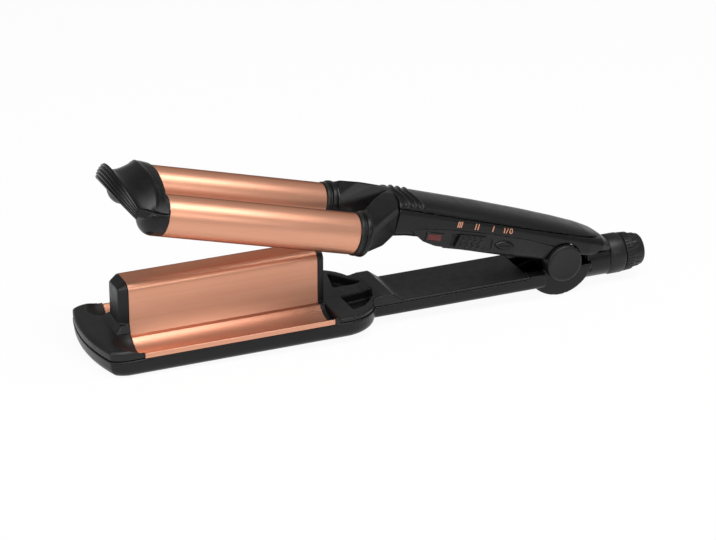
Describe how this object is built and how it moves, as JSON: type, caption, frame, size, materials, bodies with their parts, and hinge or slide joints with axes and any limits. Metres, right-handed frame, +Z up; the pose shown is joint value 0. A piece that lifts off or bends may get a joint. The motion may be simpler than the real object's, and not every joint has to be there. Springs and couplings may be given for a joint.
{
  "type": "hair waver",
  "caption": "Hair waver with heated round barrels on a sprung upper jaw that close over a ridged wave plate.",
  "frame": {"origin": "centre of the footprint, on the surface it lies on", "axes": "+X towards the cord outlet, -Y the side with the controls, +Z up, with the tool lying on the belly of its hinge and its toe"},
  "size_m": [0.3254, 0.0704, 0.1025],
  "materials": {
    "matt_black": "fine matt moulding",
    "satin_black": "satin moulding",
    "gloss_black": "polished cap",
    "copper_coating": "satin rose-copper coating on aluminium",
    "steel": "plain",
    "aluminium": "extruded",
    "ceramic": "fired ceramic heater",
    "seat_polymer": "heat-resistant moulding",
    "brass": "turned",
    "red_lens": "tinted clear moulding",
    "lamp_epoxy": "clear epoxy",
    "board_green": "solder mask",
    "switch_grey": "moulded switch body"
  },
  "bodies": {
    "lower_jaw": {"base_shell": "matt_black", "nose_deck": "satin_black", "rear_deck": "satin_black", "wave_plate": "copper_coating", "ridge_front_cap": "satin_black", "ridge_rear_cap": "satin_black", "ridge_heater": "aluminium", "ridge_ptc": "ceramic", "heater_seat": "seat_polymer", "thermal_fuse": "brass", "base_screws": "steel", "hinge_pin": "steel", "pivot_cap_near": "satin_black", "pivot_cap_far": "satin_black", "cord_collar": "matt_black", "swivel_bush": "brass", "jaw_spring": "steel"},
    "upper_jaw": {"barrel_near": "copper_coating", "barrel_far": "copper_coating", "barrel_core_near": "aluminium", "barrel_core_far": "aluminium", "barrel_ptc_near": "ceramic", "barrel_ptc_far": "ceramic", "barrel_collar_near": "satin_black", "barrel_collar_far": "satin_black", "tip_cap": "matt_black", "tip_grip": "matt_black", "neck_yoke": "matt_black", "handle_top": "matt_black", "handle_bottom": "matt_black", "switch_panel": "satin_black", "hinge_knuckle": "satin_black", "knuckle_screws": "steel", "indicator_lens": "red_lens", "indicator_lamp": "lamp_epoxy", "circuit_board": "board_green", "slide_switch": "switch_grey", "push_switch": "switch_grey"},
    "heat_slider": {"heat_slider": "satin_black"},
    "power_button": {"power_button": "gloss_black"},
    "swivel_cap": {"swivel_cap": "satin_black"}
  },
  "joints": [
    {"name": "jaw_hinge", "type": "hinge", "parent": "lower_jaw", "child": "upper_jaw", "pos_m": [0.10702, 0, 0.0206], "axis": [0, -1, 0], "range_deg": [0, 13.2], "stiffness_Nm_per_rad": 1.5, "springref_deg": -34.38, "deforming": ["jaw_spring"]},
    {"name": "heat_slide", "type": "slide", "parent": "upper_jaw", "child": "heat_slider", "axis": [0.9732, 0, -0.2301], "range_m": [-0.0026, 0.0026]},
    {"name": "power_press", "type": "slide", "parent": "upper_jaw", "child": "power_button", "axis": [0, 1, 0], "range_m": [0, 0.001], "stiffness_N_per_m": 800, "springref_m": -0.0005},
    {"name": "cord_swivel", "type": "hinge", "parent": "lower_jaw", "child": "swivel_cap", "pos_m": [0.1552, 0, 0.01426], "axis": [0.9997, 0, 0.0262], "continuous": true}
  ]
}
